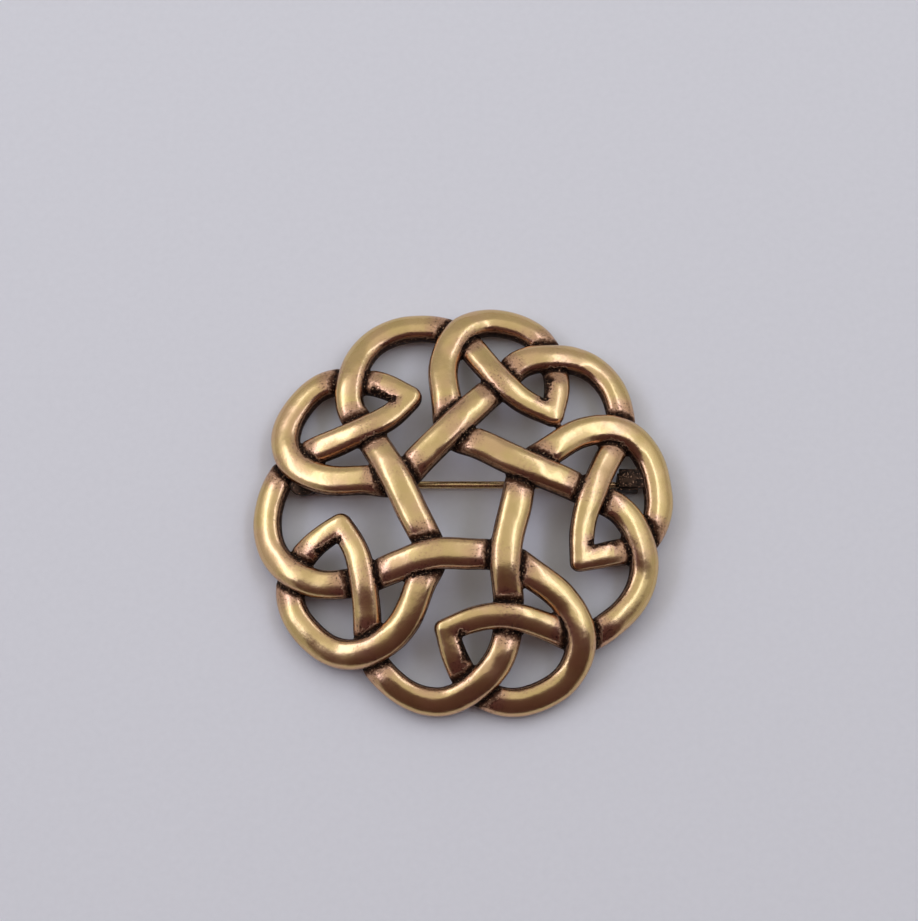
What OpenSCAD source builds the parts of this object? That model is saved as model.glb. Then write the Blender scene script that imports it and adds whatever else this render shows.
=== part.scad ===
// Round openwork brooch: one endless knot cast in bronze, with a hinged bar pin behind it.
// The brooch lies on its back: +Z comes out of its front, +X is the right and +Y the top
// of the front view. The origin is under the middle, on the surface that it lies on.

/* [Knot] */
// Width of the brooch across the rim
across = 47.8; // [47.2:0.2:49.4]
// How far the middle of the knot stands in front of its rim
dome_rise = 5.4; // [5.0:0.1:6.5]
// Width of a strand where a big arc passes over
strand_w = 3.4; // [3.0:0.1:3.6]
// Height of a strand's rounded front, at that width
crown_h = 1.6; // [1.3:0.05:1.8]
// Depth of a strand's flat back below its widest place
back_h = 0.85; // [0.7:0.05:1.0]
// How far a strand rises to pass over another, and sinks to pass under
weave_h = 0.55; // [0.4:0.05:0.7]
// How far the crossings wander from their regular places, 1 as cast, 0 regular
unevenness = 1; // [0:0.1:1]
// Longest step between two sections of a strand
section_step = 1.4; // [1.2:0.1:2.0]

/* [Pin] */
// Diameter of the pin's wire
pin_d = 0.85; // [0.7:0.05:0.9]
// How far the pin lies above the middle in the front view
pin_y = 3.0; // [2.9:0.05:3.1]
// Height of the pin's axis above the surface that the brooch lies on
pin_z = 1.05; // [1.02:0.01:1.1]
// How far the pin's point reaches to the right of the middle
point_x = 20.9; // [20.6:0.1:21.2]
// Length of the pin's taper
point_l = 5.0; // [4:0.5:7]
// Diameter that is left at the very point
point_d = 0.15; // [0.1:0.05:0.3]

/* [Hinge] */
// Distance of the hinge's axis to the left of the middle
hinge_x = 18.0; // [17.9:0.1:18.1]
// Outer diameter of the pin's flat eye
eye_d = 1.8; // [1.7:0.05:1.9]
// Thickness of the pin's flat eye
eye_t = 0.85; // [0.85:0.01:0.88]
// Diameter of the rivet
rivet_d = 0.8; // [0.7:0.05:0.85]
// Space between the rivet and the pin's eye, all round
rivet_play = 0.05; // [0.03:0.01:0.08]
// Space between the eye and each ear
ear_play = 0.06; // [0.05:0.01:0.08]
// Thickness of each ear
ear_t = 0.5; // [0.4:0.05:0.55]
// Diameter of the rivet's heads
head_d = 1.2; // [1.1:0.05:1.25]
// Height of the rivet's heads
head_h = 0.25; // [0.2:0.05:0.3]
// Diameter of the round plate that carries the ears
hinge_plate_d = 3.4; // [3.2:0.1:3.6]
// Distance of this plate's middle to the left of the middle of the knot
hinge_plate_x = 18.4; // [18.2:0.1:18.5]

/* [Catch] */
// Distance of the catch's middle to the right of the middle
catch_x = 18.9; // [18.8:0.1:19.0]
// Length of the catch along the pin
catch_l = 2.4; // [2.0:0.1:2.6]
// Inner radius of the catch
catch_r = 0.62; // [0.58:0.01:0.64]
// Thickness of the catch's wall
catch_t = 0.38; // [0.34:0.01:0.4]
// Width of the catch's mouth, through which the pin swings
mouth_w = 1.0; // [0.95:0.01:1.05]

/* [Soldered plates] */
// Height of the plates behind the knot above the surface that the brooch lies on
plate_z = 2.15; // [2.1:0.05:2.2]
// Thickness of these plates
plate_t = 0.6; // [0.5:0.05:0.7]
// Left end of the catch's plate, to the right of the middle
catch_plate_x = 17.9; // [17.7:0.1:18.0]
// Length of the catch's plate, whose right end is sunk into the knot
catch_plate_l = 3.3; // [3.2:0.1:3.5]
// Width of the catch's plate
catch_plate_w = 2.2; // [2.0:0.1:2.4]
// How far the middle of the catch's plate lies above the pin in the front view
catch_plate_y = 0.35; // [0.2:0.05:0.4]

/* [Hidden] */
bronze = [0.72, 0.58, 0.30];
wire_bronze = [0.62, 0.47, 0.24];

// The knot repeats five times round the middle. Its corners, in the bottom fifth, are:
FIFTHS = 5;
TIP = 0;  // the point where two legs meet
LOOP = 1; // where a loop passes over a short leg
ARC = 2;  // where a big arc passes over a long leg
LEG = 3;  // where a long leg passes over the start of a loop
SIDE = 4; // where two sides of the middle pentagon cross
NONE = -1;

// Regular place of each corner in the bottom fifth, in the order above: x, y
regular = [[-2.4, -13.9], [1.6, -20.5], [13.1, -15.5], [4.9, -13.5], [5.2, -5.8]];

// How far the cast corners wander, a row for each fifth, clockwise from the bottom one,
// and turned back to it: tip, loop, arc, leg, side, each x, y
wander = [
    [[ 0.4, -1.0], [-0.5, -0.6], [ 0.0,  0.0], [ 0.1,  0.1], [-0.7, -0.8]],
    [[ 0.9, -0.3], [-0.1, -0.6], [-0.1,  0.1], [ 0.2, -0.1], [ 0.0,  0.4]],
    [[ 0.3,  0.4], [ 0.1,  0.7], [ 0.0, -0.3], [-0.7,  0.2], [-0.2, -0.3]],
    [[ 0.2, -0.2], [ 0.4,  0.4], [-0.5, -0.8], [ 0.1, -0.3], [ 0.7,  0.4]],
    [[-0.1, -0.7], [ 0.2,  0.1], [ 0.6,  1.0], [ 0.4,  0.0], [ 0.3,  0.4]],
];

// How far each fifth's parts bow out from the straight line between their corners
BIG_ARC = 0;
BIG_LOOP = 1;
SHORT_LEG = 2;
// A row for each fifth: big arc, loop, short leg
bows = [[3.8, 3.1, 0.5], [3.3, 2.8, 0.5], [3.3, 3.6, 0.3], [3.0, 3.2, 0.5], [3.1, 2.7, 0.2]];

// The strand's way from a tip to the tip two fifths on, a row for each corner that it
// passes: corner, fifth counted from the start, 1 over or -1 under, width, whose bow
// scales the next stretch, and the places on that stretch: [share of the way, sideways]
route = [
    [TIP,  0,  0.2, 2.7, SHORT_LEG, [[0.45, -1.0]]],
    [LOOP, 0, -1.0, 3.2, BIG_ARC, [[0.22, -0.8], [0.5, -1.0], [0.78, -0.82]]],
    [ARC,  0,  1.0, 3.4, NONE, [[0.35, -1.5], [0.75, -0.6]]],
    [SIDE, 0, -1.0, 3.5, NONE, [[0.45, 0.0]]],
    [SIDE, 1,  1.0, 3.6, NONE, [[0.5, 0.0]]],
    [LEG,  1, -1.0, 3.4, NONE, [[0.5, 1.1]]],
    [LOOP, 1,  1.0, 3.3, BIG_LOOP, [[0.22, 0.8], [0.5, 1.0], [0.78, 0.64]]],
    [ARC,  2, -1.0, 3.2, NONE, [[0.5, -0.1]]],
    [LEG,  2,  1.0, 3.1, NONE, [[0.5, -0.5]]],
    [TIP,  2,  0.2, 2.7, NONE, []],
];
// Weave between two crossings, and how far from a crossing it starts and is all there
LEVEL = 0.35;
DIP_START = 3.4;
DIP_END = 1.4;

nominal_across = 47.8;
grow = across / nominal_across;
rim_r = across / 2;
TURN = 360 / FIFTHS;

function fifth(k) = k % FIFTHS;
function turned(p, a) = [p.x * cos(a) - p.y * sin(a), p.x * sin(a) + p.y * cos(a)];
function corner(c, k) =
    grow * turned(regular[c] + unevenness * wander[fifth(k)][c], -TURN * fifth(k));
function unit(v) = v / norm(v);
function mix(a, b, t) = a + (b - a) * t;
function ease(t) = t * t * (3 - 2 * t);

// Places along one path: x, y, width
function places(k) = [
    for (i = [0 : len(route) - 1])
        let (row = route[i], a = corner(row[0], k + row[1]))
        each concat(
            [[a.x, a.y, row[3]]],
            [for (m = row[5])
                let (
                    next = route[i + 1],
                    b = corner(next[0], k + next[1]),
                    along = b - a,
                    left = unit([-along.y, along.x]),
                    size = row[4] == NONE ? 1 : bows[fifth(k + row[1])][row[4]],
                    p = a + m[0] * along + m[1] * size * grow * left
                )
                [p.x, p.y, mix(row[3], next[3], m[0])]]
        )
];

// Smooth curve through the places, with even sections: x, y, width
function flat(p) = [p.x, p.y];
function gap(a, b) = sqrt(norm(flat(b) - flat(a)));
function curve_point(a, b, c, d, t) =
    let (
        ab = gap(a, b),
        bc = gap(b, c),
        cd = gap(c, d),
        start = ((flat(b) - flat(a)) / ab - (flat(c) - flat(a)) / (ab + bc)) * bc
            + flat(c) - flat(b),
        end = (-(flat(d) - flat(b)) / (bc + cd) + (flat(d) - flat(c)) / cd) * bc
            + flat(c) - flat(b),
        p = (2 * t ^ 3 - 3 * t ^ 2 + 1) * flat(b) + (t ^ 3 - 2 * t ^ 2 + t) * start
            + (3 * t ^ 2 - 2 * t ^ 3) * flat(c) + (t ^ 3 - t ^ 2) * end
    )
    [p.x, p.y, mix(b.z, c.z, t)];
function path(k) =
    let (p = places(k), n = len(p) - 1, all = concat([2 * p[0] - p[1]], p, [2 * p[n] - p[n - 1]]))
    concat(
        [for (i = [1 : n])
            let (steps = ceil(norm(flat(all[i + 1]) - flat(all[i])) / section_step))
            for (j = [0 : steps - 1])
                curve_point(all[i - 1], all[i], all[i + 1], all[i + 2], j / steps)],
        [p[n]]
    );

// The weave rises over one crossing and dips under the next
function share(distance) = 1 - ease(min(1, max(0, (distance - DIP_END) / (DIP_START - DIP_END))));
function sum(v) = v * [for (x = v) 1];
function weave(s, k) = LEVEL + sum([for (row = route)
    (row[2] - LEVEL) * share(norm(flat(s) - corner(row[0], k + row[1])) / grow)]);

// The dome: height of a strand's widest place, and the dome's own direction outwards
function dome_z(p) = dome_rise * (1 - (p.x ^ 2 + p.y ^ 2) / rim_r ^ 2);
function dome_up(p) = unit([2 * dome_rise * p.x / rim_r ^ 2, 2 * dome_rise * p.y / rim_r ^ 2, 1]);

// Sections this near to a tip are left out, so that both legs run straight into it
tip_clear = 2.4;
function near_tip(s, k) =
    min(norm(flat(s) - corner(TIP, k)), norm(flat(s) - corner(TIP, k + 2)));
// The strand from tip k to the tip two fifths on: x, y, z, width
function strand(k) =
    let (s = path(k), n = len(s) - 1)
    [for (i = [0 : n])
        if (i == 0 || i == n || near_tip(s[i], k) > tip_clear)
            [s[i].x, s[i].y, dome_z(s[i]) + weave_h * weave(s[i], k), s[i].z]];
function centre(s) = [s.x, s.y, s.z];
function heading(s, i) = unit(centre(s[i + 1]) - centre(s[i]));

// Section of a strand, across and up: a flat back, steep sides and a rounded front
BACK_SHARE = 0.78;
ROUND_STEP = 30;
function section(w) =
    let (a = w / 2, crown = crown_h * w / strand_w)
    concat(
        [[-BACK_SHARE * a, -back_h], [BACK_SHARE * a, -back_h]],
        [for (t = [0 : ROUND_STEP : 180]) [a * cos(t), crown * sin(t)]]
    );
// The section stands across the strand
function ring(s, i) =
    let (
        last = len(s) - 1,
        came = heading(s, max(i - 1, 0)),
        goes = heading(s, min(i, last - 1)),
        plane = unit(came + goes),
        side = unit(cross(goes, dome_up(s[i]))),
        up = cross(side, goes)
    )
    [for (q = section(s[i][3]))
        let (v = q.x * side + q.y * up) centre(s[i]) + v - goes * (v * plane) / (goes * plane)];

strands = [for (k = [0 : FIFTHS - 1]) strand(k)];
rings = [for (s = strands) [for (i = [0 : len(s) - 1]) ring(s, i)]];
// The knot is set down with its box centred over the origin and its lowest point on the surface
function low(axis) = min([for (strand_rings = rings, r = strand_rings, p = r) p[axis]]);
function high(axis) = max([for (strand_rings = rings, r = strand_rings, p = r) p[axis]]);
knot_place = [-(low(0) + high(0)) / 2, -(low(1) + high(1)) / 2, -low(2)];

// One strand, from tip to tip, which never crosses itself
module sweep(strand_rings) {
    sides = len(strand_rings[0]);
    steps = len(strand_rings) - 1;
    polyhedron(
        points = [for (r = strand_rings) each r],
        faces = concat(
            [for (j = [1 : sides - 2]) [0, j + 1, j]],
            [for (j = [1 : sides - 2]) [for (rim = [0, j, j + 1]) steps * sides + rim]],
            [for (i = [0 : steps - 1], j = [0 : sides - 1])
                let (k = (j + 1) % sides)
                [i * sides + j, i * sides + k, (i + 1) * sides + k, (i + 1) * sides + j]]
        )
    );
}
// Round bend that joins two legs at a tip, a little inside their own section
KNOB_SHARE = 0.98;
module tip_knob(s) {
    tilt = atan(2 * dome_rise * norm(flat(s)) / rim_r ^ 2);
    half_section = [for (q = section(s[3])) if (q.x >= 0) q];
    translate(centre(s)) rotate([0, tilt, atan2(s.y, s.x)]) scale(KNOB_SHARE)
        rotate_extrude($fn = 12)
            polygon(concat([[0, -back_h]], half_section));
}

// Two ears that hang from a round plate and hold the rivet
ear_y = (eye_t + ear_t) / 2 + ear_play;
bore_play = 0.02;
module across_pin(at_y) translate([-hinge_x, pin_y + at_y, pin_z]) rotate([90, 0, 0]) children();
module hinge_ears() {
    translate([-hinge_plate_x, pin_y, plate_z]) cylinder(d = hinge_plate_d, h = plate_t, $fn = 64);
    for (side = [-1, 1]) difference() {
        union() {
            across_pin(side * ear_y) cylinder(d = eye_d, h = ear_t, center = true, $fn = 48);
            translate([-hinge_x - eye_d / 2, pin_y + side * ear_y - ear_t / 2, pin_z])
                cube([eye_d, ear_t, plate_z + plate_t / 2 - pin_z]);
        }
        across_pin(side * ear_y)
            cylinder(d = rivet_d + 2 * bore_play, h = 2 * ear_t, center = true, $fn = 48);
    }
}

// A plain hook that hangs from a plate round the pin, and whose mouth looks to the back
module catch_hook() {
    out_r = catch_r + catch_t;
    translate([catch_plate_x, pin_y + catch_plate_y - catch_plate_w / 2, plate_z])
        cube([catch_plate_l, catch_plate_w, plate_t]);
    translate([catch_x, pin_y, pin_z]) rotate([0, 90, 0]) difference() {
        union() {
            cylinder(r = out_r, h = catch_l, center = true, $fn = 48);
            translate([pin_z - plate_z - plate_t / 2, -out_r, -catch_l / 2])
                cube([plate_z + plate_t / 2 - pin_z, 2 * out_r, catch_l]);
        }
        cylinder(r = catch_r, h = 2 * catch_l, center = true, $fn = 48);
        translate([0, -mouth_w / 2, -catch_l]) cube([2 * catch_r, mouth_w, 2 * catch_l]);
    }
}

module knotwork() color(bronze) {
    translate(knot_place) for (k = [0 : FIFTHS - 1]) {
        sweep(rings[k]);
        tip_knob(strands[k][0]);
    }
    hinge_ears();
    catch_hook();
}

// The pin: a flat eye, a straight wire and a tapered point
eye_bore_d = rivet_d + 2 * rivet_play;
module pin_stem() color(wire_bronze) {
    wire_x = (eye_bore_d + eye_d) / 4;
    wire_l = hinge_x + point_x - point_l - wire_x;
    difference() {
        across_pin(0) cylinder(d = eye_d, h = eye_t, center = true, $fn = 48);
        across_pin(0) cylinder(d = eye_bore_d, h = 2 * eye_t, center = true, $fn = 48);
    }
    translate([wire_x - hinge_x, pin_y, pin_z]) rotate([0, 90, 0]) {
        cylinder(d = pin_d, h = wire_l, $fn = 32);
        translate([0, 0, wire_l]) cylinder(d1 = pin_d, d2 = point_d, h = point_l, $fn = 32);
    }
}

// The rivet that the pin turns on, with a low round head outside each ear
module rivet_head() {
    ball_r = (head_d ^ 2 / 4 + head_h ^ 2) / (2 * head_h);
    intersection() {
        translate([0, 0, head_h - ball_r]) sphere(r = ball_r, $fn = 64);
        cylinder(d = head_d, h = head_h, $fn = 48);
    }
}
module hinge_rivet() color(wire_bronze) {
    half = ear_y + ear_t / 2 + bore_play;
    across_pin(0) {
        cylinder(d = rivet_d, h = 2 * half, center = true, $fn = 48);
        for (end = [0, 180]) rotate([end, 0, 0]) translate([0, 0, half]) rivet_head();
    }
}

knotwork();
pin_stem();
hinge_rivet();
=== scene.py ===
import math

import bpy
import numpy as np
from mathutils import Matrix, Vector


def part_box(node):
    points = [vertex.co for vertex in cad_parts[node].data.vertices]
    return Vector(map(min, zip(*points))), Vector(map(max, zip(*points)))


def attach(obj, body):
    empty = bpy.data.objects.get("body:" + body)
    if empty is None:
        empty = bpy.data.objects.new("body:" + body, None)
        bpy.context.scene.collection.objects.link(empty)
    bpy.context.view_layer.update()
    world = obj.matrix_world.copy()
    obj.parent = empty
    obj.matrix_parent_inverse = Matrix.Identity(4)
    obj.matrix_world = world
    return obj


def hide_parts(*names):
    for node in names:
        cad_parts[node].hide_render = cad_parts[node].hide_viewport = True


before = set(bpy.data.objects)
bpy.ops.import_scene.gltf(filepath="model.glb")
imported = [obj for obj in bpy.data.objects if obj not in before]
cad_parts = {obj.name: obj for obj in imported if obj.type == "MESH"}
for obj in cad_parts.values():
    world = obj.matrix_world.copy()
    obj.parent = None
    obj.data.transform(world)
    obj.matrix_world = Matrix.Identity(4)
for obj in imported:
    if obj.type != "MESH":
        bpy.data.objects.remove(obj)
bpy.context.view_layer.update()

# The knot is worked out in millimetres, and its meshes are brought to metres at the end
MM = 0.001

# Image that the render fills, in pixels
IMAGE_W = 918
IMAGE_H = 921

# The knot's tables, as in the part's source: it repeats five times round the middle
FIFTHS = 5
TURN = 360 / FIFTHS
TIP, LOOP, ARC, LEG, SIDE = range(5)
# Regular place of each corner in the bottom fifth: tip, loop, arc, leg, side, each x, y
REGULAR = [(-2.4, -13.9), (1.6, -20.5), (13.1, -15.5), (4.9, -13.5), (5.2, -5.8)]
# How far the cast corners wander, a row for each fifth, clockwise from the bottom one
WANDER = [
    [(0.4, -1.0), (-0.5, -0.6), (0.0, 0.0), (0.1, 0.1), (-0.7, -0.8)],
    [(0.9, -0.3), (-0.1, -0.6), (-0.1, 0.1), (0.2, -0.1), (0.0, 0.4)],
    [(0.3, 0.4), (0.1, 0.7), (0.0, -0.3), (-0.7, 0.2), (-0.2, -0.3)],
    [(0.2, -0.2), (0.4, 0.4), (-0.5, -0.8), (0.1, -0.3), (0.7, 0.4)],
    [(-0.1, -0.7), (0.2, 0.1), (0.6, 1.0), (0.4, 0.0), (0.3, 0.4)],
]
# How far each fifth's parts bow out: big arc, loop, short leg
BIG_ARC, BIG_LOOP, SHORT_LEG = range(3)
BOWS = [(3.8, 3.1, 0.5), (3.3, 2.8, 0.5), (3.3, 3.6, 0.3), (3.0, 3.2, 0.5), (3.1, 2.7, 0.2)]
# The strand's way from a tip to the tip two fifths on: corner, fifth counted from the start,
# 1 over or -1 under, width, whose bow scales the next stretch, places: share, sideways
ROUTE = [
    (TIP, 0, 0.2, 2.7, SHORT_LEG, [(0.45, -1.0)]),
    (LOOP, 0, -1.0, 3.2, BIG_ARC, [(0.22, -0.8), (0.5, -1.0), (0.78, -0.82)]),
    (ARC, 0, 1.0, 3.4, None, [(0.35, -1.5), (0.75, -0.6)]),
    (SIDE, 0, -1.0, 3.5, None, [(0.45, 0.0)]),
    (SIDE, 1, 1.0, 3.6, None, [(0.5, 0.0)]),
    (LEG, 1, -1.0, 3.4, None, [(0.5, 1.1)]),
    (LOOP, 1, 1.0, 3.3, BIG_LOOP, [(0.22, 0.8), (0.5, 1.0), (0.78, 0.64)]),
    (ARC, 2, -1.0, 3.2, None, [(0.5, -0.1)]),
    (LEG, 2, 1.0, 3.1, None, [(0.5, -0.5)]),
    (TIP, 2, 0.2, 2.7, None, []),
]
# The endless strand visits the tips in this order
VISITS = [0, 2, 4, 1, 3]
TIP_POWER = [2.6, 2.2, 2.0, 2.0, 2.8]  # each fifth's tip is round at 2, and squarer above
LEVEL = 0.35       # weave between two crossings
DIP_START = 3.4    # distance from a crossing at which the weave starts to change
DIP_END = 1.4      # and at which it has changed
WEAVE_H = 0.55     # rise over another strand, and dip under it
DOME_RISE = 5.4    # how far the middle stands in front of the rim
RIM_R = 23.9
TIP_CLEAR = 2.4    # both legs run straight for this long into a tip
STRAND_W = 3.4     # width at which the crown has its full height
CROWN_H = 1.6
BACK_H = 0.85      # depth of the flat back below the widest place
BACK_SHARE = 0.78  # the back's share of the width

# How finely the knot is made
SAMPLE_STEP = 0.3  # along the strand
VOXEL = 0.235      # size of the mesh's faces
RING_SIDES = 24    # of the rough tube
BATCH = 8192       # points whose nearest samples are looked up at a time
WALK_STEPS = 8     # steps from the nearest sample to the section that a point lies in

# Distances along the strand, in mm
SMOOTHING = 0.9    # reach of the smoothing that turns corners into bends
KEPT_END = 1.5     # what stays unsmoothed at each end of a way
STRETCH = 5.0      # samples of one way that are closer than this are one stretch
TIP_SKIP = 1.5     # samples closer than this are one stretch, also across a tip
TIP_NEAR = 5.0     # how far from a tip points bend round it
TIP_ROUND = 2.0    # and how far along its legs


def unit(v):
    """Rows of v, each made one long."""
    return v / np.linalg.norm(v, axis=-1, keepdims=True)


def dot(a, b):
    """Dot product of each row of a with the same row of b."""
    return np.einsum("...i,...i->...", a, b)


def ease(t):
    """Smooth step of t, which is cut to 0 and 1."""
    t = np.clip(t, 0, 1)
    return t * t * (3 - 2 * t)


def mix(a, b, t):
    """From a, where t is 0, to b, where it is 1."""
    return a + (b - a) * t


# The strand's centreline

def corner(kind, k):
    """Place of one corner of fifth k."""
    x, y = np.array(REGULAR[kind]) + np.array(WANDER[k % FIFTHS][kind])
    a = math.radians(-TURN * (k % FIFTHS))
    return np.array([x * math.cos(a) - y * math.sin(a), x * math.sin(a) + y * math.cos(a)])


def places(k):
    """Places on the way that starts at tip k: rows of x, y, width."""
    rows = []
    for i, (kind, fifth, _, width, bow, between) in enumerate(ROUTE):
        a = corner(kind, k + fifth)
        rows.append([*a, width])
        for share, sideways in between:
            after = ROUTE[i + 1]
            along = corner(after[0], k + after[1]) - a
            left = np.array([-along[1], along[0]]) / np.linalg.norm(along)
            size = 1 if bow is None else BOWS[(k + fifth) % FIFTHS][bow]
            rows.append([*(a + share * along + sideways * size * left), mix(width, after[3], share)])
    return np.array(rows)


def smooth_way(k):
    """Fine points of the way that starts at tip k: rows of x, y, width."""
    p = places(k)
    p = np.vstack([2 * p[0] - p[1], p, 2 * p[-1] - p[-2]])
    rows = []
    for a, b, c, d in zip(p, p[1:], p[2:], p[3:]):
        ab, bc, cd = (math.sqrt(np.linalg.norm((v - u)[:2])) for u, v in ((a, b), (b, c), (c, d)))
        start = ((b - a) / ab - (c - a) / (ab + bc)) * bc + c - b
        end = (-(d - b) / (bc + cd) + (d - c) / cd) * bc + c - b
        steps = math.ceil(np.linalg.norm((c - b)[:2]) / SAMPLE_STEP)
        for t in np.arange(steps) / steps:
            point = ((2 * t**3 - 3 * t**2 + 1) * b + (t**3 - 2 * t**2 + t) * start
                     + (3 * t**2 - 2 * t**3) * c + (t**3 - t**2) * end)
            point[2] = mix(b[2], c[2], t)
            rows.append(point)
    return np.array(rows + [p[-2]])


def weave(xy, k):
    """Height of the weave at points of way k: 1 over, -1 under."""
    height = np.full(len(xy), LEVEL)
    for kind, fifth, over, *_ in ROUTE:
        distance = np.linalg.norm(xy - corner(kind, k + fifth), axis=1)
        height += (over - LEVEL) * (1 - ease((distance - DIP_END) / (DIP_START - DIP_END)))
    return height


def softened(rows, sigma):
    """Rows smoothed along the way, with both ends kept."""
    reach = int(3 * sigma)
    kernel = np.exp(-0.5 * (np.arange(-reach, reach + 1) / sigma) ** 2)
    kernel /= kernel.sum()
    ends = np.vstack([2 * rows[0] - rows[reach:0:-1], rows, 2 * rows[-1] - rows[-2:-reach - 2:-1]])
    return np.column_stack([np.convolve(column, kernel, "valid") for column in ends.T])


def strand_samples():
    """The endless strand, evenly spaced: x, y, z, half width, weave, distance from a tip, way."""
    parts = []
    for k in VISITS:
        way = smooth_way(k)
        xy = way[:, :2]
        clear = np.minimum(
            np.linalg.norm(xy - corner(TIP, k), axis=1),
            np.linalg.norm(xy - corner(TIP, k + 2), axis=1),
        ) > TIP_CLEAR
        clear[[0, -1]] = True
        height = weave(xy, k)[clear]
        xy = xy[clear]
        z = DOME_RISE * (1 - (xy**2).sum(1) / RIM_R**2) + WEAVE_H * height
        rows = np.column_stack([xy, z, way[clear, 2] / 2, height])
        run = np.concatenate([[0], np.cumsum(np.linalg.norm(np.diff(rows[:, :3], axis=0), axis=1))])
        even = np.linspace(0, run[-1], round(run[-1] / SAMPLE_STEP) + 1)
        rows = np.column_stack([np.interp(even, run, column) for column in rows.T])
        kept = round(KEPT_END / SAMPLE_STEP)
        middle = slice(kept, -kept)
        rows[middle] = softened(rows, SMOOTHING / SAMPLE_STEP)[middle]
        run = np.arange(len(rows)) * even[1]
        from_tip = np.minimum(run, run[-1] - run)
        parts.append(np.column_stack([rows, from_tip, np.full(len(rows), k)])[:-1])
    return np.vstack(parts)


def dome_up(p):
    """The dome's own direction outwards at points p."""
    slope = 2 * DOME_RISE / RIM_R**2
    return unit(np.column_stack([slope * p[:, 0], slope * p[:, 1], np.ones(len(p))]))


class Strand:
    """The strand's samples and their frames, and where any point lies beside them."""

    def __init__(self):
        rows = strand_samples()
        self.centre = rows[:, :3]
        self.half, self.height, self.from_tip, self.way = rows[:, 3:].T
        tip = self.from_tip == 0
        ahead = unit(np.roll(self.centre, -1, 0) - self.centre)
        behind = np.roll(ahead, 1, 0)
        self.plane = unit(ahead + behind)
        goes = np.where(tip[:, None], ahead, self.plane)
        came = np.where(tip[:, None], behind, self.plane)
        up = dome_up(self.centre)
        self.side_out, self.up_out = self.sideways(goes, up)
        self.side_in, self.up_in = self.sideways(came, up)
        self.goes = goes
        self.came = came
        self.count = len(self.centre)
        self.tips = np.flatnonzero(tip)
        self.tip_power = np.array([TIP_POWER[k] for k in VISITS])

    @staticmethod
    def sideways(heading, up):
        """Directions across and up, square to the heading."""
        side = unit(np.cross(heading, up))
        return side, np.cross(side, heading)

    def near(self, points):
        """The sample nearest to each point, and the nearest one on another stretch of the strand."""
        first = np.empty(len(points), int)
        second = np.empty(len(points), int)
        skip = round(STRETCH / SAMPLE_STEP)
        tip_skip = round(TIP_SKIP / SAMPLE_STEP)
        squares = (self.centre**2).sum(1)
        offsets = np.arange(-skip, skip + 1)
        for start in range(0, len(points), BATCH):
            p = points[start:start + BATCH]
            away = squares[None] - 2 * p @ self.centre.T
            nearest = away.argmin(1)
            first[start:start + len(p)] = nearest
            beside = (nearest[:, None] + offsets) % self.count
            same = self.way[beside] == self.way[nearest][:, None]
            kept = np.take_along_axis(away, beside, 1)
            hidden = np.where(same | (abs(offsets) < tip_skip), np.inf, kept)
            np.put_along_axis(away, beside, hidden, 1)
            second[start:start + len(p)] = away.argmin(1)
        return first, second

    def same_stretch(self, i, j):
        """Whether samples i and j lie on one stretch, with no tip between them."""
        gap = np.abs(i - j)
        gap = np.minimum(gap, self.count - gap)
        return (self.way[i] == self.way[j]) & (gap < STRETCH / SAMPLE_STEP)

    def beside(self, points, i):
        """Across, up, half width and sample of the strand's section through each point, near i."""
        for _ in range(WALK_STEPS):
            n = (i + 1) % self.count
            before = dot(points - self.centre[i], self.plane[i])
            after = dot(points - self.centre[n], self.plane[n])
            i = (i + (after > 0) - (before < 0)) % self.count
        n = (i + 1) % self.count
        before = dot(points - self.centre[i], self.plane[i])
        after = dot(points - self.centre[n], self.plane[n])
        t = np.clip(before / np.maximum(before - after, 1e-9), 0, 1)
        t3 = t[:, None]
        c = mix(self.centre[i], self.centre[n], t3)
        side = unit(mix(self.side_out[i], self.side_in[n], t3))
        up = unit(mix(self.up_out[i], self.up_in[n], t3))
        across = self.rounded_at_tips(points, dot(points - c, side), i)
        return across, dot(points - c, up), mix(self.half[i], self.half[n], t), i

    def rounded_at_tips(self, points, across, i):
        """The place across the strand, which bends round a tip past the ends of its two legs."""
        across = across.copy()
        for tip, power in zip(self.tips, self.tip_power):
            ahead = (i - tip) % self.count < self.count / 2
            close = np.linalg.norm(points - self.centre[tip], axis=1) < TIP_NEAR
            close &= self.from_tip[i] < TIP_ROUND
            legs = ((close & ahead, self.goes[tip]), (close & ~ahead, -self.came[tip]))
            for rows, leg in legs:
                past = np.maximum(-(points[rows] - self.centre[tip]) @ leg, 0)
                own = across[rows]
                around = (np.abs(own) ** power + past**power) ** (1 / power)
                across[rows] = np.where(own < 0, -around, around)
        return across


# The strand's section and the fused knot

CROWN_POWER = 2.4   # 2 is an ellipse, more has steeper sides
WALL_UP = 0.38      # the crown starts this far above the widest place
CORNER_SOFT = 0.35  # rounding of the back's corners
FILLET = 0.15       # rounding where two strands meet
FILLET_MIN = 0.01   # and at a tip
FILLET_START = 2.0  # distance from a tip at which it is all there
GROOVE_DEPTH = 0.35 # groove in the lower strand beside the upper one
GROOVE_W = 0.7
FULL_UNDER = 1.2    # difference in weave at which one strand is wholly under the other
FAR = 10            # stands for a second strand where there is none

# Slight unevenness of the casting, in mm: wavelength, height
WAVES = [(9, 0.03), (6, 0.024), (4.2, 0.016), (3, 0.010), (2.1, 0.006)]
WAVES_EACH = 3
WAVE_SEED = 7

# How points are moved onto the surface
SETTLE_ROUNDS = 8
PROBE = 0.01        # distance at which the slope is felt
MIN_SLOPE = 0.25    # squared
MAX_STEP = 0.3

# The rough tube, which only has to lie near the surface
ROUGH_POWER = 0.9   # under 1 its section has fuller shoulders
BACK_FROM = -0.5    # sine from which the back is spread
BACK_SPREAD = 1.1
BACK_FLAT = 1.4     # over 1 it is flat further out
TIP_LIMIT = 1.2     # half widths that it may reach past a tip


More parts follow.
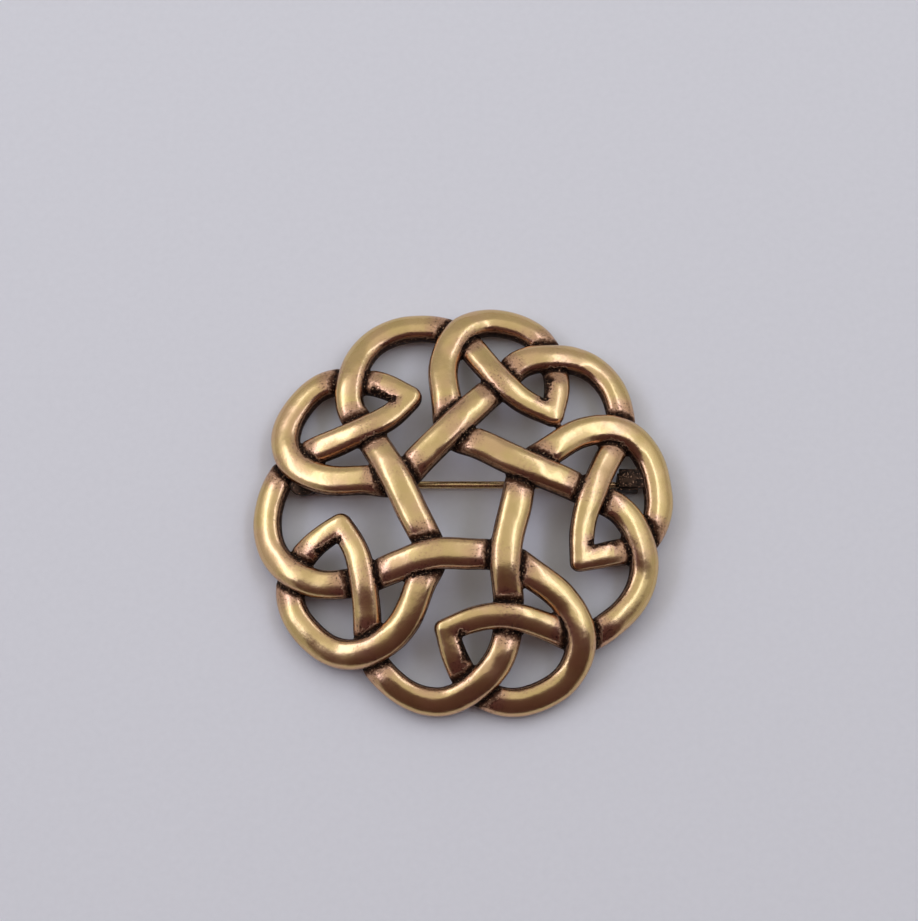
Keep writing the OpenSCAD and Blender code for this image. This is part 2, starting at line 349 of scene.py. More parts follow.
def soft_max(a, b, k):
    """The larger of a and b, rounded over k where they are close."""
    h = np.maximum(k - np.abs(a - b), 0) / k
    return np.maximum(a, b) + h * h * k / 4


def section_distance(u, v, half):
    """How far outside the section a point lies, about, below 0 inside."""
    crown = CROWN_H * 2 * half / STRAND_W - WALL_UP
    v = v - WALL_UP
    x = np.abs(u) / half
    y = np.maximum(v, 0) / crown
    power = (np.maximum(x, 1e-6) ** CROWN_POWER + y**CROWN_POWER) ** (1 / CROWN_POWER)
    slope_x = (np.maximum(x, 1e-6) / power) ** (CROWN_POWER - 1) / half
    slope_y = (y / power) ** (CROWN_POWER - 1) / crown
    front = (power - 1) / np.sqrt(slope_x**2 + slope_y**2)
    lean = (1 - BACK_SHARE) * half / BACK_H
    wall = np.abs(u) - half - lean * np.minimum(v + WALL_UP, 0)
    back = soft_max(wall, -v - WALL_UP - BACK_H, CORNER_SOFT)
    return np.where(v > 0, front, back)


def waviness(p):
    """Slight unevenness of the casting at points p, in mm."""
    rng = np.random.default_rng(WAVE_SEED)
    total = np.zeros(len(p))
    for wavelength, height in WAVES:
        for _ in range(WAVES_EACH):
            direction = unit(rng.normal(size=3))
            phase = rng.uniform(0, 2 * math.pi)
            total += height * np.sin(p @ direction * 2 * math.pi / wavelength + phase) / 2
    return total


def two_distances(strand, p, first, second):
    """Distances outside the nearest two stretches, and the fillet's size between them."""
    across_a, up_a, half_a, i = strand.beside(p, first)
    across_b, up_b, half_b, j = strand.beside(p, second)
    a = section_distance(across_a, up_a, half_a)
    b = np.where(strand.same_stretch(i, j), a + FAR, section_distance(across_b, up_b, half_b))
    under = (strand.height[j] - strand.height[i]) / FULL_UNDER
    cut_a = GROOVE_DEPTH * ease(under) * (1 - ease(b / GROOVE_W)) * ease(up_a / CROWN_H)
    cut_b = GROOVE_DEPTH * ease(-under) * (1 - ease(a / GROOVE_W)) * ease(up_b / CROWN_H)
    fillet = FILLET * ease(strand.from_tip[j] / FILLET_START) + FILLET_MIN
    return a + cut_a, b + cut_b, fillet


def knot_distance(strand, p, first, second):
    """How far outside the fused knot each point lies, about."""
    a, b, fillet = two_distances(strand, p, first, second)
    h = np.maximum(fillet - np.abs(a - b), 0) / fillet
    return np.minimum(a, b) - h * h * fillet / 4 + waviness(p)


def settled(strand, points):
    """Points moved onto the fused knot's surface."""
    first, second = strand.near(points)
    corners = np.array([(1, -1, -1), (-1, -1, 1), (-1, 1, -1), (1, 1, 1)]) * PROBE
    for _ in range(SETTLE_ROUNDS):
        values = [knot_distance(strand, points + c, first, second) for c in corners]
        slope = sum(v[:, None] * c for v, c in zip(values, corners)) / (4 * PROBE**2)
        middle = sum(values) / 4
        step = middle / np.maximum(dot(slope, slope), MIN_SLOPE)
        points = points - np.clip(step, -MAX_STEP, MAX_STEP)[:, None] * slope
    return points


def blunted(strand, reach):
    """How much shorter each point of the tips' rings has to lie, so that no tip is a spike."""
    outwards = unit(strand.came[strand.tips] - strand.goes[strand.tips])
    length = np.linalg.norm(reach, axis=2)
    limit = TIP_LIMIT * strand.half[strand.tips][:, None]
    return np.where(dot(reach, outwards[:, None]) > 0, np.minimum(1, limit / length), 1)


def rough_strand(strand):
    """A closed tube along the whole strand, which passes through itself at the crossings."""
    turn = np.radians(np.arange(RING_SIDES) * 360 / RING_SIDES)
    cos, sin = np.cos(turn), np.sin(turn)
    crown = CROWN_H * 2 * strand.half / STRAND_W
    u = strand.half[:, None] * np.sign(cos) * np.abs(cos) ** ROUGH_POWER
    u = np.where(sin[None] < BACK_FROM, u * BACK_SPREAD, u)
    v = np.where(sin >= 0, crown[:, None] * sin, BACK_H * np.maximum(sin * BACK_FLAT, -1))
    offset = u[..., None] * strand.side_out[:, None] + v[..., None] * strand.up_out[:, None]
    slide = dot(offset, strand.plane[:, None]) / dot(strand.goes, strand.plane)[:, None]
    reach = offset - slide[..., None] * strand.goes[:, None]
    reach[strand.tips] *= blunted(strand, reach[strand.tips])[..., None]
    rings = strand.centre[:, None] + reach
    n, m = strand.count, RING_SIDES
    i, j = np.meshgrid(np.arange(n), np.arange(m), indexing="ij")
    i2, j2 = (i + 1) % n, (j + 1) % m
    faces = np.stack([i * m + j, i2 * m + j, i2 * m + j2, i * m + j2], -1).reshape(-1, 4)
    return rings.reshape(-1, 3), faces


def new_object(name, points, faces):
    """A mesh object of these points and faces, linked into the scene."""
    mesh = bpy.data.meshes.new(name)
    mesh.from_pydata(points, [], faces)
    mesh.validate()
    obj = bpy.data.objects.new(name, mesh)
    bpy.context.scene.collection.objects.link(obj)
    return obj


def applied(obj):
    """The object's mesh with its modifiers applied, in place of its own."""
    shown = obj.evaluated_get(bpy.context.evaluated_depsgraph_get())
    mesh = bpy.data.meshes.new_from_object(shown)
    obj.modifiers.clear()
    old = obj.data
    obj.data = mesh
    bpy.data.meshes.remove(old)
    return obj


def coordinates(mesh):
    """The mesh's vertices, a row for each."""
    co = np.empty(len(mesh.vertices) * 3, np.float32)
    mesh.vertices.foreach_get("co", co)
    return co.reshape(-1, 3).astype(float)


def put_coordinates(mesh, points):
    """Moves the mesh's vertices to these points."""
    mesh.vertices.foreach_set("co", np.asarray(points, np.float32).ravel())
    mesh.update()


def add_attribute(mesh, name, values):
    """Gives each vertex one value, which a material reads by this name."""
    attribute = mesh.attributes.new(name, "FLOAT", "POINT")
    attribute.data.foreach_set("value", np.asarray(values, np.float32))


TIP_SMOOTHING = 3   # rounds of softening at the tips
TIP_REACH = 2.6     # how far from a tip they reach
TIP_SHARE = 0.6     # and their strength at the tip


def neighbour_mean(mesh, points):
    """For each vertex, the mean of the vertices that an edge joins it to."""
    edges = np.empty(len(mesh.edges) * 2, np.int32)
    mesh.edges.foreach_get("vertices", edges)
    a, b = edges.reshape(-1, 2).T
    total = np.zeros_like(points)
    np.add.at(total, a, points[b])
    np.add.at(total, b, points[a])
    used = np.bincount(a, minlength=len(points)) + np.bincount(b, minlength=len(points))
    return total / used[:, None]


def soften_tips(mesh, points):
    """Tips rounded as the cast ones are."""
    for k in range(FIFTHS):
        x, y = corner(TIP, k)
        reach = np.hypot(points[:, 0] - x, points[:, 1] - y)
        share = (1 - ease(reach / TIP_REACH))[:, None] * TIP_SHARE
        for _ in range(TIP_SMOOTHING):
            points = mix(points, neighbour_mean(mesh, points), share)
    return points


def make_knot():
    """The cast knot, fused into one body with fillets where strands meet."""
    strand = Strand()
    points, faces = rough_strand(strand)
    obj = new_object("knot_casting", points.tolist(), faces.tolist())
    remesh = obj.modifiers.new("fuse", "REMESH")
    remesh.mode = "VOXEL"
    remesh.voxel_size = VOXEL
    applied(obj)
    points = settled(strand, coordinates(obj.data))
    points = soften_tips(obj.data, points)
    mark_wear_and_painted_reflection(obj.data, strand, points)
    # it stands in the solid's place: the same middle, and the same lowest point
    low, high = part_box("knotwork")
    place = Vector([(low[i] + high[i]) / 2 / MM for i in range(2)] + [low.z / MM])
    own = [(points[:, i].min() + points[:, i].max()) / 2 for i in range(2)] + [points[:, 2].min()]
    put_coordinates(obj.data, (points + np.array(place) - np.array(own)) * MM)
    obj.data.shade_smooth()
    return obj


# Where patina gathers, in mm
DIRT_REACH = 2.2    # how far dirt runs from a tip's crotch along the short leg
DIRT_W = 0.25       # and its width
MARK_REACH = 6      # furthest distance that the marks tell apart
BEYOND = 9.0        # stands for a place that is further than that
CROTCH_START = 1.6  # the two legs of a tip count as two strands from here on

# Where the rim's outer flank stays polished, as shares of the rim's radius or half width
RIM_START = 0.78
RIM_FADE = 0.1
RIM_OUTWARD = 0.6
PAINTED_REFLECTION_START = 0.3  # from here down, the rim's outer flank keeps its dark wall tones, which paint a dark reflection on the rim's lowest part
PAINTED_REFLECTION_FADE = 0.4


def from_dirt(strand, points):
    """Distance from the dirt on the inner edges of the tips' short legs, seen from above."""
    nearest = np.full(len(points), BEYOND)
    for tip in strand.tips:
        short_leg = unit(strand.goes[tip][:2])
        long_leg = unit(-strand.came[tip][:2])
        sine = math.sin(math.acos(short_leg @ long_leg) / 2)
        inwards = unit(short_leg + long_leg) * strand.half[tip] / sine
        beyond = points[:, :2] - (strand.centre[tip][:2] + inwards)
        along = np.clip(beyond @ short_leg, 0, DIRT_REACH)
        gap = np.linalg.norm(beyond - along[:, None] * short_leg, axis=1)
        nearest = np.minimum(nearest, gap)
    return np.maximum(nearest - DIRT_W, 0)


def mark_wear_and_painted_reflection(mesh, strand, points):
    """Where patina gathers, where polish has worn, and where a dark reflection is painted on the rim's
    lowest part: one value per vertex for each.
    """
    first, second = strand.near(points)
    u1, v1, half1, i1 = strand.beside(points, first)
    u2, v2, half2, i2 = strand.beside(points, second)
    d1 = section_distance(u1, v1, half1)
    d2 = np.where(strand.same_stretch(i1, i2), MARK_REACH, section_distance(u2, v2, half2))
    other = d2 < d1
    v = np.where(other, v2, v1)
    half = np.where(other, half2, half1)
    height = np.where(other, strand.height[i2], strand.height[i1])
    other_height = np.where(other, strand.height[i1], strand.height[i2])
    both_tips = strand.from_tip[i1] + strand.from_tip[i2]
    from_tip = np.where(strand.way[i1] != strand.way[i2], both_tips, BEYOND)
    away = np.where(other, d1, d2) + MARK_REACH * (1 - ease(from_tip - CROTCH_START))
    away = np.minimum(away, from_dirt(strand, points))
    under = ease((other_height - height) / FULL_UNDER)
    add_attribute(mesh, "groove", np.clip(away, 0, MARK_REACH))
    add_attribute(mesh, "under", under)
    add_attribute(mesh, "rise", v / (CROWN_H * 2 * half / STRAND_W))
    outward = (points - strand.centre[np.where(other, i2, i1)])[:, :2]
    outward = dot(outward, points[:, :2]) / np.hypot(points[:, 0], points[:, 1]) / half
    radius = np.hypot(points[:, 0], points[:, 1]) / RIM_R
    # the rim's lowest part gets no polish, so its dark wall tones there are a painted dark reflection
    upper = 1 - ease((-points[:, 1] / RIM_R - PAINTED_REFLECTION_START) / PAINTED_REFLECTION_FADE)
    rim = ease((radius - RIM_START) / RIM_FADE)
    add_attribute(mesh, "rim", rim * ease(outward / RIM_OUTWARD) * upper)


# The hinge's ears and the catch, with sizes in mm as in the part's source

PIN_Y = 3.0
PIN_Z = 1.05
HINGE_X = 18.0
EYE_D = 1.8
EYE_T = 0.85
EAR_T = 0.5
EAR_PLAY = 0.06
BORE_R = 0.42
PLATE_Z = 2.15
PLATE_T = 0.6
HINGE_PLATE_D = 3.4
HINGE_PLATE_X = 18.4
CATCH_X = 18.9
CATCH_L = 2.4
CATCH_R = 0.62
CATCH_T = 0.38
MOUTH_W = 1.0
CATCH_PLATE_X = 17.9
CATCH_PLATE_L = 3.3
CATCH_PLATE_W = 2.2
CATCH_PLATE_Y = 0.35
ROUND_SIDES = 48
DISC_SIDES = 64
HOOK_STEPS = 7     # between two corners of the hook's outline
EDGE_WEAR = 0.06   # rounding of the edges
SHARP_ANGLE = math.radians(40)


def arc(radius, start, end, steps):
    """Points on an arc, from one angle in degrees to another."""
    angles = np.radians(np.linspace(start, end, steps + 1))
    return [(radius * math.cos(a), radius * math.sin(a)) for a in angles]


def plate(outline, depth):
    """A plate of this outline and depth along z, from z = 0."""
    n = len(outline)
    points = [(x, y, z) for z in (0, depth) for x, y in outline]
    faces = [tuple(reversed(range(n))), tuple(range(n, 2 * n))]
    faces += [(i, (i + 1) % n, n + (i + 1) % n, n + i) for i in range(n)]
    return points, faces


def band(outer, inner, depth, closed=True):
    """A plate between two outlines of as many points: a ring, or a C if it isn't closed."""
    n = len(outer)
    points = [(x, y, z) for outline in (outer, inner) for z in (0, depth) for x, y in outline]
    faces = []
    for i in range(n if closed else n - 1):
        j = (i + 1) % n
        faces.append((i, j, n + j, n + i))
        faces.append((2 * n + j, 2 * n + i, 3 * n + i, 3 * n + j))
        faces.append((j, i, 2 * n + i, 2 * n + j))
        faces.append((n + i, n + j, 3 * n + j, 3 * n + i))
    if not closed:
        faces.append((0, n, 3 * n, 2 * n))
        faces.append((2 * n - 1, n - 1, 3 * n - 1, 4 * n - 1))
    return points, faces


def turned(profile):
    """A solid turned round z: its profile is rows of radius, z, from the axis up to the axis."""
    sides = ROUND_SIDES
    (_, bottom), *rings, (_, top) = profile
    points = [(0, 0, bottom)]
    for radius, z in rings:
        points += [(x, y, z) for x, y in arc(radius, 0, 360, sides)[:-1]]
    points.append((0, 0, top))
    faces = []
    for i in range(sides):
        j = (i + 1) % sides
        faces.append((0, 1 + j, 1 + i))
        for ring in range(len(rings) - 1):
            base = 1 + ring * sides
            faces.append((base + i, base + j, base + sides + j, base + sides + i))
        last = 1 + (len(rings) - 1) * sides
        faces.append((last + i, last + j, len(points) - 1))
    return points, faces


def joined(name, pieces):
    """One object from several (points, faces, matrix) pieces."""
    points, faces = [], []
    for piece_points, piece_faces, matrix in pieces:
        base = len(points)
        points += [tuple(matrix @ Vector(p)) for p in piece_points]
        faces += [tuple(base + i for i in face) for face in piece_faces]
    return new_object(name, points, faces)


def ear_outline():
    """An ear: round below, square above, with points spread as on its round hole."""
    r = EYE_D / 2
    top = PLATE_Z + PLATE_T / 2 - PIN_Z
    outline = []
    for i in range(ROUND_SIDES):
        a = 2 * math.pi * i / ROUND_SIDES
        x, y = math.cos(a), math.sin(a)
        if y <= 0:
            outline.append((r * x, r * y))
        else:
            reach = min(r / max(abs(x), 1e-9), top / y)
            outline.append((reach * x, reach * y))
    return outline


def hook_outlines():
    """The hook's outer and inner outline, from one lip of its mouth round to the other."""
    out = CATCH_R + CATCH_T
    top = PLATE_Z + PLATE_T / 2 - PIN_Z
    lip = math.degrees(math.asin(MOUTH_W / 2 / out))
    inner_lip = math.degrees(math.asin(MOUTH_W / 2 / CATCH_R))
    corner_angle = math.degrees(math.atan2(top, out))
    stops = [lip - 90, 0, corner_angle, 180 - corner_angle, 180, 270 - lip]
    angles = [stops[0]]
    for a, b in zip(stops, stops[1:]):
        angles += list(np.linspace(a, b, HOOK_STEPS + 1)[1:])
    outer = []
    for angle in angles:
        x, y = math.cos(math.radians(angle)), math.sin(math.radians(angle))
        reach = out if y <= 0 else min(out / max(abs(x), 1e-9), top / y)
        outer.append((reach * x, reach * y))
    return outer, arc(CATCH_R, inner_lip - 90, 270 - inner_lip, len(outer) - 1)


def make_findings():
    """The two ears and the hook, each on its plate, soldered behind the knot."""
    ear = band(ear_outline(), arc(BORE_R, 0, 360, ROUND_SIDES)[:-1], EAR_T)
    stand = Matrix.Rotation(math.radians(90), 4, "X")
    pieces = []
    for side in (-1, 1):
        middle = side * ((EYE_T + EAR_T) / 2 + EAR_PLAY)
        place = Matrix.Translation((-HINGE_X, PIN_Y + middle + EAR_T / 2, PIN_Z))
        pieces.append((*ear, place @ stand))
    disc = plate(arc(HINGE_PLATE_D / 2, 0, 360, DISC_SIDES)[:-1], PLATE_T)
    pieces.append((*disc, Matrix.Translation((-HINGE_PLATE_X, PIN_Y, PLATE_Z))))
    hook = band(*hook_outlines(), CATCH_L, closed=False)
    along = Matrix.Rotation(math.radians(90), 4, "Z") @ Matrix.Rotation(math.radians(90), 4, "X")
    pieces.append((*hook, Matrix.Translation((CATCH_X - CATCH_L / 2, PIN_Y, PIN_Z)) @ along))
    x0, x1 = CATCH_PLATE_X, CATCH_PLATE_X + CATCH_PLATE_L
    y0 = PIN_Y + CATCH_PLATE_Y - CATCH_PLATE_W / 2
    y1 = y0 + CATCH_PLATE_W
    base = plate([(x0, y0), (x1, y0), (x1, y1), (x0, y1)], PLATE_T)
    pieces.append((*base, Matrix.Translation((0, 0, PLATE_Z))))
    obj = joined("hinge_ears_and_catch", pieces)
    bevel = obj.modifiers.new("worn_edges", "BEVEL")
    bevel.width = EDGE_WEAR
    bevel.segments = 2
    bevel.limit_method = "ANGLE"
    bevel.angle_limit = SHARP_ANGLE
    return finished(applied(obj))


def finished(obj):
    """The object brought from millimetres to metres, smooth but for its sharp edges."""
    put_coordinates(obj.data, coordinates(obj.data) * MM)
    obj.data.shade_smooth()
    obj.data.set_sharp_from_angle(angle=SHARP_ANGLE)
    return obj


RIVET_R = 0.4
HEAD_R = 0.6
HEAD_H = 0.25
HEAD_PLAY = 0.02   # between the head and the ear
HEAD_STEP = 15     # degrees between the rings of a head


def make_rivet():
    """The rivet through the ears and the pin's eye, with a low round head at each end."""
    half = EYE_T / 2 + EAR_PLAY + EAR_T + HEAD_PLAY
    rise = np.radians(np.arange(0, 90, HEAD_STEP))
    head = [(HEAD_R * math.cos(a), half + HEAD_H * math.sin(a)) for a in rise]
    upper = [(RIVET_R, half), *head, (0, half + HEAD_H)]
    profile = [(radius, -z) for radius, z in upper[::-1]] + upper
    place = Matrix.Translation((-HINGE_X, PIN_Y, PIN_Z)) @ Matrix.Rotation(math.radians(90), 4, "X")
    return finished(joined("hinge_rivet_turned", [(*turned(profile), place)]))


# Materials

# Places of a colour Mix node's sockets
MIX_A = 6
MIX_B = 7
MIX_RESULT = 2


class Nodes:
    """Short ways to build a material's nodes."""

    def __init__(self, name):
        self.material = bpy.data.materials.new(name)
        self.material.use_nodes = True
        self.tree = self.material.node_tree
        self.tree.nodes.clear()
        self.output = self.tree.nodes.new("ShaderNodeOutputMaterial")
        self.shader = self.tree.nodes.new("ShaderNodeBsdfPrincipled")
        self.link(self.shader.outputs[0], self.output.inputs["Surface"])
        self.place = self.tree.nodes.new("ShaderNodeTexCoord").outputs["Object"]

    def link(self, a, b):
        """Wires output a to input b."""
        self.tree.links.new(a, b)

    def put(self, value, socket):
        """Wires the value to the socket, or sets it there if it is a number or colour."""
        if isinstance(value, bpy.types.NodeSocket):
            self.link(value, socket)
        else:
            socket.default_value = value

    def set(self, **values):
        """Puts each value on the shader's socket of that name."""
        for name, value in values.items():
            self.put(value, self.shader.inputs[name.replace("_", " ")])

    def attribute(self, name):
        """The value that the mesh carries by this name."""
        node = self.tree.nodes.new("ShaderNodeAttribute")
        node.attribute_name = name
        return node.outputs["Fac"]

    def noise(self, size_mm, detail=3.0, rough=0.55):
        """Noise whose blotches are about this wide."""
        node = self.tree.nodes.new("ShaderNodeTexNoise")
        self.link(self.place, node.inputs["Vector"])
        node.inputs["Scale"].default_value = 1 / (size_mm * MM)
        node.inputs["Detail"].default_value = detail
        node.inputs["Roughness"].default_value = rough
        return node.outputs["Fac"]

    def math(self, operation, a, b):
        """One step of arithmetic."""
        node = self.tree.nodes.new("ShaderNodeMath")
        node.operation = operation
        self.put(a, node.inputs[0])
        self.put(b, node.inputs[1])
        return node.outputs[0]

    def ramp(self, value, low, high, out_low=0.0, out_high=1.0):
        """Smooth step of value from low to high."""
        node = self.tree.nodes.new("ShaderNodeMapRange")
        node.interpolation_type = "SMOOTHSTEP"
        self.put(value, node.inputs["Value"])
        node.inputs["From Min"].default_value = low
        node.inputs["From Max"].default_value = high
        node.inputs["To Min"].default_value = out_low
        node.inputs["To Max"].default_value = out_high
        return node.outputs["Result"]

    def mix(self, share, a, b):
        """Colour a where share is 0, colour b where it is 1."""
        node = self.tree.nodes.new("ShaderNodeMix")
        node.data_type = "RGBA"
        self.put(share, node.inputs["Factor"])
        self.put(a, node.inputs[MIX_A])
        self.put(b, node.inputs[MIX_B])
        return node.outputs[MIX_RESULT]

    def bump(self, height, depth_mm, before=None):
        """Fine relief this deep, on top of another."""
        node = self.tree.nodes.new("ShaderNodeBump")
        node.inputs["Distance"].default_value = depth_mm * MM
        self.put(height, node.inputs["Height"])
        if before is not None:
            self.link(before, node.inputs["Normal"])
        return node.outputs["Normal"]


GOLD = (0.75, 0.53, 0.255, 1)
OLIVE = (0.69, 0.50, 0.22, 1)
ROSE = (0.73, 0.46, 0.275, 1)
COPPER = (0.62, 0.365, 0.235, 1)
DULL = (0.40, 0.26, 0.135, 1)
DULL_DARK = (0.26, 0.16, 0.085, 1)
BROWN = (0.095, 0.042, 0.024, 1)
BLACK = (0.008, 0.003, 0.0015, 1)
SOOT = (0.06, 0.034, 0.022, 1)
SOOT_DARK = (0.012, 0.008, 0.006, 1)
FLOOR_PALE = (0.84, 0.84, 0.85, 1)
FLOOR_PALER = (0.90, 0.90, 0.91, 1)
CARD = (0.15, 0.065, 0.07, 1)

# Distance from the other strand, in mm, at which each tone starts, and at which it is all there
BLACK_AWAY = (0.62, 0.3)
BROWN_AWAY = (1.1, 0.5)
COPPER_AWAY = (4.0, 1.0)
UPPER_SHARE = 0.33  # on the upper strand the tones reach only this share of that
FINE_EDGE = 1.2     # how much the fine noise shifts a tone's edge
PATCHY_EDGE = 1.6   # and the wide noise, on the lower strand

# Height at which each tone starts and is all there, as a share of the crown's height
WALL_RISE = (0.52, 0.28)
DEEP_RISE = (0.40, 0.15)
FLANK_RISE = (0.98, 0.5)
BACK_RISE = (-0.3, -0.48)
RISE_EDGE = 0.3     # how much the noise shifts these
RIM_RISE = 0.28     # and how much lower they lie round the rim

# Strength of each tone
COPPER_SHARE = 0.9
DEEP_SHARE = 0.8
BRIGHT_SHARE = 0.8
DARK_SHARE = 0.85
DULL_SHARE = 0.85

# Noise between these values
MOTTLED = (0.35, 0.65)
BRIGHT_GRAIN = (0.60, 0.66)
DARK_GRAIN = (0.44, 0.38)


def crossing_tones(n, under, wide, uneven):
    """Black, brown and copper beside the other strand, which reach less far on the upper one."""
    patchy = n.math("MULTIPLY", n.math("SUBTRACT", wide, 0.5), n.math("MULTIPLY", under, PATCHY_EDGE))
    away = n.math("ADD", n.attribute("groove"), uneven)
    away = n.math("DIVIDE", away, n.ramp(under, 0.0, 1.0, UPPER_SHARE, 1.0))
    black = n.ramp(away, *BLACK_AWAY)
    away = n.math("ADD", away, patchy)
    return black, n.ramp(away, *BROWN_AWAY), n.ramp(away, *COPPER_AWAY)


def wall_tones(n, uneven):
    """Brown, black and copper down the side walls, less so round the rim except at its lowest part,
    where keeping them dark paints a dark reflection.
    """
    low = n.math("ADD", n.attribute("rise"), n.math("MULTIPLY", uneven, RISE_EDGE))
    # the rim lowers these tones, but not at its lowest part, where they stay dark as a painted
    # reflection
    low = n.math("ADD", low, n.math("MULTIPLY", n.attribute("rim"), RIM_RISE))
    return n.ramp(low, *WALL_RISE), n.ramp(low, *DEEP_RISE), n.ramp(low, *FLANK_RISE)


def bronze_material():
    """Polished bronze, with black patina in the grooves, copper beside it and a dull back."""
    n = Nodes("antiqued_bronze")
    under = n.attribute("under")
    wide = n.noise(5.0, 2.0)
    coarse = n.noise(2.2)
    fine = n.noise(0.45, 4.0, 0.65)
    grain = n.noise(0.24, 3.0, 0.7)
    uneven = n.math("MULTIPLY", n.math("SUBTRACT", fine, 0.5), FINE_EDGE)
    black, brown, copper = crossing_tones(n, under, wide, uneven)
    wall, deep, flank = wall_tones(n, uneven)
    behind = n.ramp(n.attribute("rise"), *BACK_RISE)
    ahead = n.math("SUBTRACT", 1.0, behind)
    coppery = n.math("MAXIMUM", copper, flank)
    dirty = n.math("MAXIMUM", brown, wall)
    # two tones of polished metal
    body = n.mix(n.ramp(coarse, *MOTTLED), GOLD, OLIVE)
    body = n.mix(n.ramp(wide, 0.48, 0.66, 0.0, 0.55), body, ROSE)
    # copper, then brown, then black over them
    body = n.mix(n.math("MULTIPLY", coppery, COPPER_SHARE), body, COPPER)
    body = n.mix(dirty, body, BROWN)
    black = n.math("MAXIMUM", black, n.math("MULTIPLY", deep, DEEP_SHARE))
    black = n.math("MULTIPLY", black, ahead)
    body = n.mix(black, body, BLACK)
    # metal that shows through the patina, and dirt in the pores beside it
    bright_specks = n.math("MULTIPLY", dirty, n.ramp(grain, *BRIGHT_GRAIN))
    body = n.mix(n.math("MULTIPLY", bright_specks, BRIGHT_SHARE), body, ROSE)
    dark_specks = n.math("MULTIPLY", coppery, n.ramp(grain, *DARK_GRAIN))
    body = n.mix(n.math("MULTIPLY", dark_specks, DARK_SHARE), body, BROWN)
    dull = n.mix(n.ramp(coarse, *MOTTLED), DULL, DULL_DARK)
    body = n.mix(n.math("MULTIPLY", behind, DULL_SHARE), body, dull)
    n.set(Base_Color=body, Metallic=n.ramp(black, 0.0, 1.0, 1.0, 0.35), Specular_IOR_Level=0.1)
    # dirt is rougher and has more pits
    rough = n.ramp(dirty, 0.0, 1.0, 0.15, 0.52)
    n.set(Roughness=n.math("ADD", rough, n.math("MULTIPLY", fine, 0.14)))
    pitted = n.math("ADD", n.math("ADD", dirty, n.math("MULTIPLY", flank, 0.15)), 0.06)
    ripples = n.bump(n.noise(1.3, 2.0, 0.5), 0.025)
    n.set(Normal=n.bump(n.math("MULTIPLY", pitted, grain), 0.10, ripples))
    return n.material


def wire_material(name, colour, rough):
    """Drawn wire of this colour, with copper patches and dark specks."""
    n = Nodes(name)
    coarse = n.noise(1.2)
    fine = n.noise(0.15, 3.0, 0.6)
    body = n.mix(n.ramp(coarse, 0.4, 0.75), colour, COPPER)
    body = n.mix(n.math("MULTIPLY", n.ramp(fine, 0.55, 0.8), 0.5), body, BROWN)
    n.set(Base_Color=body, Metallic=1.0)
    n.set(Roughness=n.math("ADD", rough, n.math("MULTIPLY", fine, 0.15)))
    n.set(Normal=n.bump(fine, 0.01))
    return n.material


def findings_material():
    """Blackened bronze, with copper specks."""
    n = Nodes("soldered_findings")
    coarse = n.noise(0.9)
    fine = n.noise(0.2, 4.0, 0.65)
    body = n.mix(n.ramp(coarse, *MOTTLED), SOOT, SOOT_DARK)
    body = n.mix(n.ramp(fine, *BRIGHT_GRAIN), body, COPPER)
    n.set(Base_Color=body, Metallic=0.9)
    n.set(Roughness=n.math("ADD", 0.32, n.math("MULTIPLY", fine, 0.3)))
    n.set(Normal=n.bump(fine, 0.03))
    return n.material


def floor_material():
    """Pale and matt."""
    n = Nodes("pale_floor")
    fine = n.noise(0.8, 5.0, 0.6)
    n.set(Base_Color=n.mix(fine, FLOOR_PALE, FLOOR_PALER), Roughness=0.85)
    return n.material


def card_material():
    """Dark and matt."""
    n = Nodes("dark_card")
    n.set(Base_Color=CARD, Roughness=0.9)
    return n.material


# Camera, floor and light

VIEW_ELEVATION = 75.0  # of the camera above the brooch's plane, degrees
VIEW_DISTANCE = 250.0  # mm
FOCAL_PX = 2187.5      # focal length in the image's pixels
SENSOR = 36.0
AIM = (0.153, -0.09, 3.314)  # point of the brooch, in mm, that the photo shows at AIM_PX
AIM_PX = (464.8, 505.6)

FLOOR_HALF = 1.5          # m
WORLD = (0.48, 0.47, 0.46, 1)  # colour of the light from all round
CARD_HALF = 0.75          # half width of the dark card, m
CARD_BACK = (-0.5, 0.39)  # from its near to its far edge, m
CARD_LEAN = (5, -46)      # from overhead to the right and to the back, degrees
CARD_DISTANCE = 600       # mm

# Soft boxes: name, the leans from overhead that they span to the right and to the back in
# degrees, distance in mm, radiance
SOFTBOXES = [
    ("ceiling", (-60, 60), (-12, 52), 1000, (0.24, 0.24, 0.22)),
    ("left_window", (-58, -24), (-11, 44), 800, (0.30, 0.33, 0.38)),
    ("left_strip", (-50, -38), (-11, 40), 780, (1.8, 1.85, 2.6)),
    ("right_window", (22, 50), (-13, 50), 800, (0.25, 0.30, 0.38)),
    ("right_strip", (27, 34), (-13, 44), 780, (1.75, 1.85, 2.6)),
]


def make_camera():
    """A camera at the photo's angle, with the brooch at its place in the photo."""
    data = bpy.data.cameras.new("camera")
    data.sensor_width = SENSOR
    longer = max(IMAGE_W, IMAGE_H)
    data.lens = FOCAL_PX / longer * SENSOR
    data.shift_x = (IMAGE_W / 2 - AIM_PX[0]) / longer
    data.shift_y = (AIM_PX[1] - IMAGE_H / 2) / longer
    data.clip_start = 0.005
    camera = bpy.data.objects.new("camera", data)
    bpy.context.scene.collection.objects.link(camera)
    up = math.radians(VIEW_ELEVATION)
    away = Vector((0, -math.cos(up), math.sin(up))) * VIEW_DISTANCE
    camera.location = (Vector(AIM) + away) * MM
    camera.rotation_euler = (-away).to_track_quat("-Z", "Y").to_euler()
    bpy.context.scene.camera = camera


def facing_middle(obj, lean_right, lean_back, distance_mm):
    """Hang obj so far from overhead, in degrees, with its face towards the brooch."""
    z = Vector((math.tan(math.radians(lean_right)), math.tan(math.radians(lean_back)), 1)).normalized()
    x = Vector((0, 1, 0)).cross(z).normalized()
    obj.matrix_world = Matrix((x, z.cross(x), z)).transposed().to_4x4()
    obj.location = z * distance_mm * MM
    bpy.context.scene.collection.objects.link(obj)


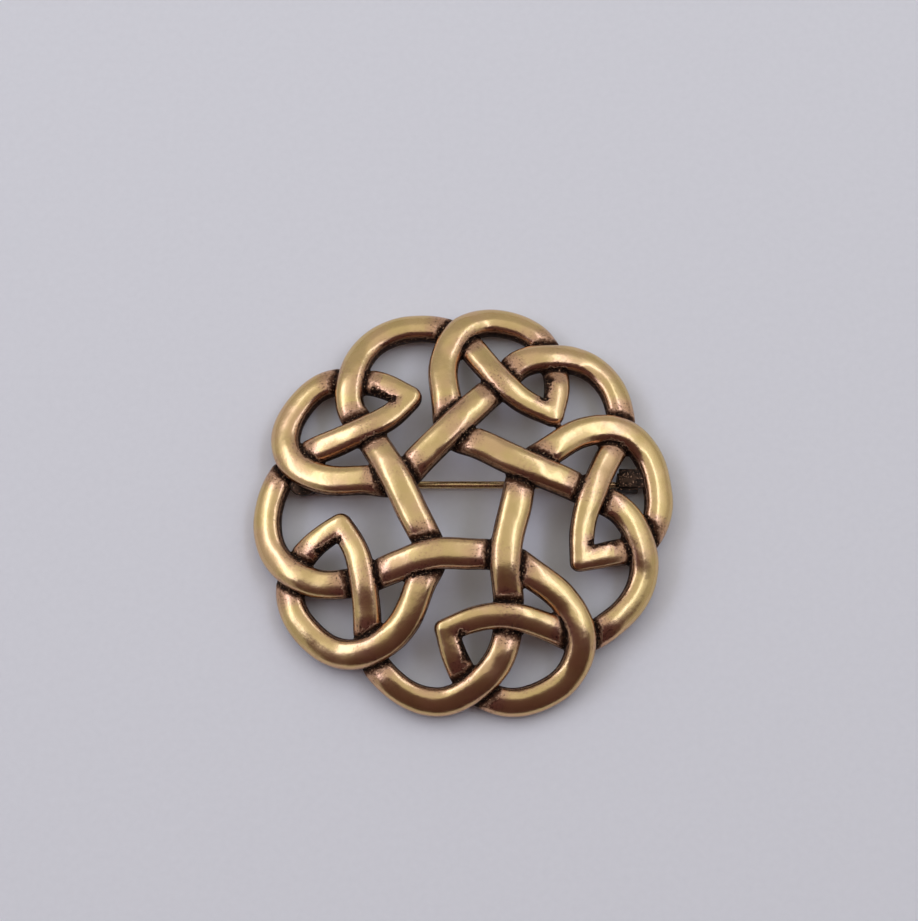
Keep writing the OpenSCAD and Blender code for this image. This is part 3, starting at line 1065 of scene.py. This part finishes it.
def softbox(name, right, back, distance_mm, radiance):
    """A rectangular light that spans these leans from overhead, in degrees."""
    data = bpy.data.lights.new(name, "AREA")
    data.shape = "RECTANGLE"
    data.size = 2 * distance_mm * MM * math.tan(math.radians(right[1] - right[0]) / 2)
    data.size_y = 2 * distance_mm * MM * math.tan(math.radians(back[1] - back[0]) / 2)
    data.energy = math.pi * data.size * data.size_y * max(radiance)
    data.color = [c / max(radiance) for c in radiance]
    light = bpy.data.objects.new(name, data)
    facing_middle(light, sum(right) / 2, sum(back) / 2, distance_mm)


def make_world():
    """Even grey light from all round."""
    world = bpy.data.worlds.new("studio")
    world.use_nodes = True
    background = world.node_tree.nodes["Background"]
    background.inputs["Color"].default_value = WORLD
    background.inputs["Strength"].default_value = 1.0
    bpy.context.scene.world = world


def make_dark_card():
    """A dark card behind the camera, which the fronts that lean towards the viewer mirror."""
    x = CARD_HALF
    y0, y1 = CARD_BACK
    corners = [(-x, y0, 0), (x, y0, 0), (x, y1, 0), (-x, y1, 0)]
    mesh = bpy.data.meshes.new("dark_card")
    mesh.from_pydata(corners, [], [(0, 1, 2, 3)])
    card = bpy.data.objects.new("dark_card", mesh)
    card.data.materials.append(card_material())
    facing_middle(card, *CARD_LEAN, CARD_DISTANCE)
    card.visible_camera = False
    return card


def make_stage():
    """The floor, the dark card and the lights."""
    size = FLOOR_HALF
    corners = [(-size, -size, 0), (size, -size, 0), (size, size, 0), (-size, size, 0)]
    floor = new_object("floor", corners, [(0, 1, 2, 3)])
    floor.data.materials.append(floor_material())
    make_dark_card()
    make_world()
    for row in SOFTBOXES:
        softbox(*row)


def dress(obj, material):
    """Gives the object this material alone."""
    obj.data.materials.clear()
    obj.data.materials.append(material)


make_camera()
make_stage()

knot = make_knot()
dress(knot, bronze_material())
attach(knot, "brooch")
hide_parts("knotwork")

findings = make_findings()
dress(findings, findings_material())
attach(findings, "brooch")
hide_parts("knotwork")

dress(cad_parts["pin_stem"], wire_material("pin_wire", GOLD, 0.2))

rivet = make_rivet()
dress(rivet, wire_material("rivet_bronze", BROWN, 0.35))
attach(rivet, "brooch")
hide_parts("hinge_rivet")

bpy.context.scene.view_settings.view_transform = "Standard"
